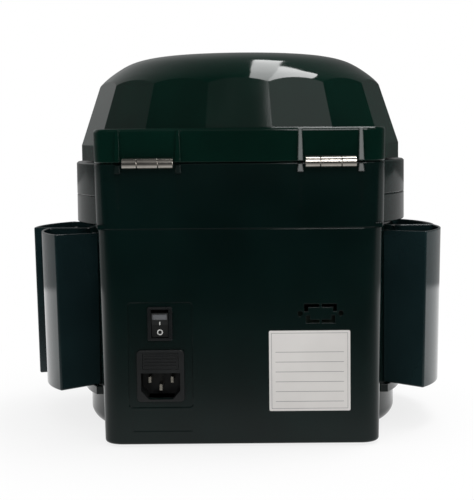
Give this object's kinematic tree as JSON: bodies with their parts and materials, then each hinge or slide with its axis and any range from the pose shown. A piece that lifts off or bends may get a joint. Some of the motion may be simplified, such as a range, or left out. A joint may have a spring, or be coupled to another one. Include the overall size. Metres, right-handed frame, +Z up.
{
  "type": "coin sorting machine",
  "caption": "Countertop coin sorter: round drum with a fan of pull-out coin cups, hinged faceted hopper lid, tilted front console and a flat rear column with switch and mains inlet",
  "frame": {"origin": "centre of the bounding box in plan, on the surface that the feet stand on", "axes": "+Z up; the front with the console faces -Y; the flat rear panel with the switch and inlet faces +Y; X runs across"},
  "size_m": [0.2822, 0.2499, 0.2495],
  "materials": {
    "body_black": "glossy",
    "lid_black": "glossy",
    "cup_black": "glossy",
    "nickel": "polished",
    "steel": "satin",
    "sorting_steel": "satin",
    "rubber": "matte",
    "grey_plastic": "satin",
    "gear_plastic": "satin",
    "brass": "satin",
    "board": "satin",
    "dark_plastic": "satin",
    "fitting_black": "satin",
    "fuse_glass": "clear",
    "label": "satin",
    "window": "clear",
    "key_grey": "satin",
    "key_green": "satin"
  },
  "bodies": {
    "housing": {"base_plate": "body_black", "rubber_feet": "rubber", "case_screws": "steel", "drum_housing": "body_black", "exit_collar": "body_black", "rear_housing": "body_black", "rating_label": "label", "upper_housing": "body_black", "hopper_bowl": "body_black", "hopper_floor": "body_black", "lid_bumpers": "rubber", "coin_wiper": "rubber", "body_hinge_leaves": "nickel", "hinge_pins": "nickel", "body_hinge_screws": "nickel", "sorting_plate": "sorting_steel", "chute_ring": "grey_plastic", "bearing_housing": "grey_plastic", "shaft_bearings": "steel", "gear_motor": "steel", "motor_bracket": "steel", "sensor_board": "board", "coin_sensors": "dark_plastic", "mains_inlet": "fitting_black", "inlet_pins": "brass", "switch_bezel": "fitting_black", "power_supply": "board", "main_board": "board", "front_console": "body_black", "display_window": "window", "display_module": "dark_plastic", "keypad_board": "board"},
    "lid": {"hopper_lid": "lid_black", "lid_hinge_leaves": "nickel", "lid_hinge_screws": "nickel"},
    "cup_1": {"coin_cup_1": "cup_black"},
    "cup_2": {"coin_cup_2": "cup_black"},
    "cup_3": {"coin_cup_3": "cup_black"},
    "cup_4": {"coin_cup_4": "cup_black"},
    "cup_5": {"coin_cup_5": "cup_black"},
    "cup_6": {"coin_cup_6": "cup_black"},
    "cup_7": {"coin_cup_7": "cup_black"},
    "cup_8": {"coin_cup_8": "cup_black"},
    "disc": {"feed_disc": "grey_plastic", "disc_cap": "grey_plastic", "drive_shaft": "steel", "drive_gear": "gear_plastic"},
    "pinion": {"motor_pinion": "brass"},
    "start_key": {"button_start": "key_green"},
    "clear_key": {"button_clear": "key_grey"},
    "add_key": {"button_add": "key_grey"},
    "batch_key": {"button_batch": "key_grey"},
    "report_key": {"button_report": "key_grey"},
    "plus_key": {"button_plus": "key_grey"},
    "minus_key": {"button_minus": "key_grey"},
    "rocker": {"switch_rocker": "fitting_black"},
    "fuse_carrier": {"fuse_drawer": "fitting_black", "fuse": "fuse_glass"}
  },
  "joints": [
    {"name": "lid_hinge", "type": "hinge", "parent": "housing", "child": "lid", "pos_m": [-0.00475, 0.12157, 0.17725], "axis": [-1, 0, 0], "range_deg": [0, 105]},
    {"name": "cup_1_slide", "type": "slide", "parent": "housing", "child": "cup_1", "axis": [0.9774, 0.2113, 0], "range_m": [0, 0.045]},
    {"name": "cup_2_slide", "type": "slide", "parent": "housing", "child": "cup_2", "axis": [0.9563, -0.2924, 0], "range_m": [-0.011, 0.034]},
    {"name": "cup_3_slide", "type": "slide", "parent": "housing", "child": "cup_3", "axis": [0.6921, -0.7218, 0], "range_m": [0, 0.045]},
    {"name": "cup_4_slide", "type": "slide", "parent": "housing", "child": "cup_4", "axis": [0.2521, -0.9677, 0], "range_m": [0, 0.045]},
    {"name": "cup_5_slide", "type": "slide", "parent": "housing", "child": "cup_5", "axis": [-0.2521, -0.9677, 0], "range_m": [0, 0.045]},
    {"name": "cup_6_slide", "type": "slide", "parent": "housing", "child": "cup_6", "axis": [-0.6921, -0.7218, 0], "range_m": [0, 0.045]},
    {"name": "cup_7_slide", "type": "slide", "parent": "housing", "child": "cup_7", "axis": [-0.9563, -0.2924, 0], "range_m": [0, 0.045]},
    {"name": "cup_8_slide", "type": "slide", "parent": "housing", "child": "cup_8", "axis": [-0.9774, 0.2113, 0], "range_m": [0, 0.045]},
    {"name": "disc_spin", "type": "hinge", "parent": "housing", "child": "disc", "pos_m": [-0.00475, 0.01097, 0.11], "axis": [0, 0, 1], "continuous": true},
    {"name": "pinion_spin", "type": "hinge", "parent": "housing", "child": "pinion", "pos_m": [0.03125, 0.01097, 0.082], "axis": [0, 0, 1], "continuous": true},
    {"name": "start_press", "type": "slide", "parent": "housing", "child": "start_key", "axis": [0, 0.9531, -0.3026], "range_m": [0, 0.001], "stiffness_N_per_m": 600, "springref_m": -0.001},
    {"name": "clear_press", "type": "slide", "parent": "housing", "child": "clear_key", "axis": [0, 0.9531, -0.3026], "range_m": [0, 0.001], "stiffness_N_per_m": 600, "springref_m": -0.001},
    {"name": "add_press", "type": "slide", "parent": "housing", "child": "add_key", "axis": [0, 0.9531, -0.3026], "range_m": [0, 0.001], "stiffness_N_per_m": 600, "springref_m": -0.001},
    {"name": "batch_press", "type": "slide", "parent": "housing", "child": "batch_key", "axis": [0, 0.9531, -0.3026], "range_m": [0, 0.001], "stiffness_N_per_m": 600, "springref_m": -0.001},
    {"name": "report_press", "type": "slide", "parent": "housing", "child": "report_key", "axis": [0, 0.9531, -0.3026], "range_m": [0, 0.001], "stiffness_N_per_m": 600, "springref_m": -0.001},
    {"name": "plus_press", "type": "slide", "parent": "housing", "child": "plus_key", "axis": [0, 0.9531, -0.3026], "range_m": [0, 0.001], "stiffness_N_per_m": 600, "springref_m": -0.001},
    {"name": "minus_press", "type": "slide", "parent": "housing", "child": "minus_key", "axis": [0, 0.9531, -0.3026], "range_m": [0, 0.001], "stiffness_N_per_m": 600, "springref_m": -0.001},
    {"name": "rocker_tilt", "type": "hinge", "parent": "housing", "child": "rocker", "pos_m": [0.04545, 0.11537, 0.07785], "axis": [1, 0, 0], "range_deg": [0, 20]},
    {"name": "fuse_slide", "type": "slide", "parent": "housing", "child": "fuse_carrier", "axis": [0, 1, 0], "range_m": [0, 0.018]}
  ],
  "couplings": [
    {"joint": "pinion_spin", "follows": "disc_spin", "ratio": -3}
  ]
}
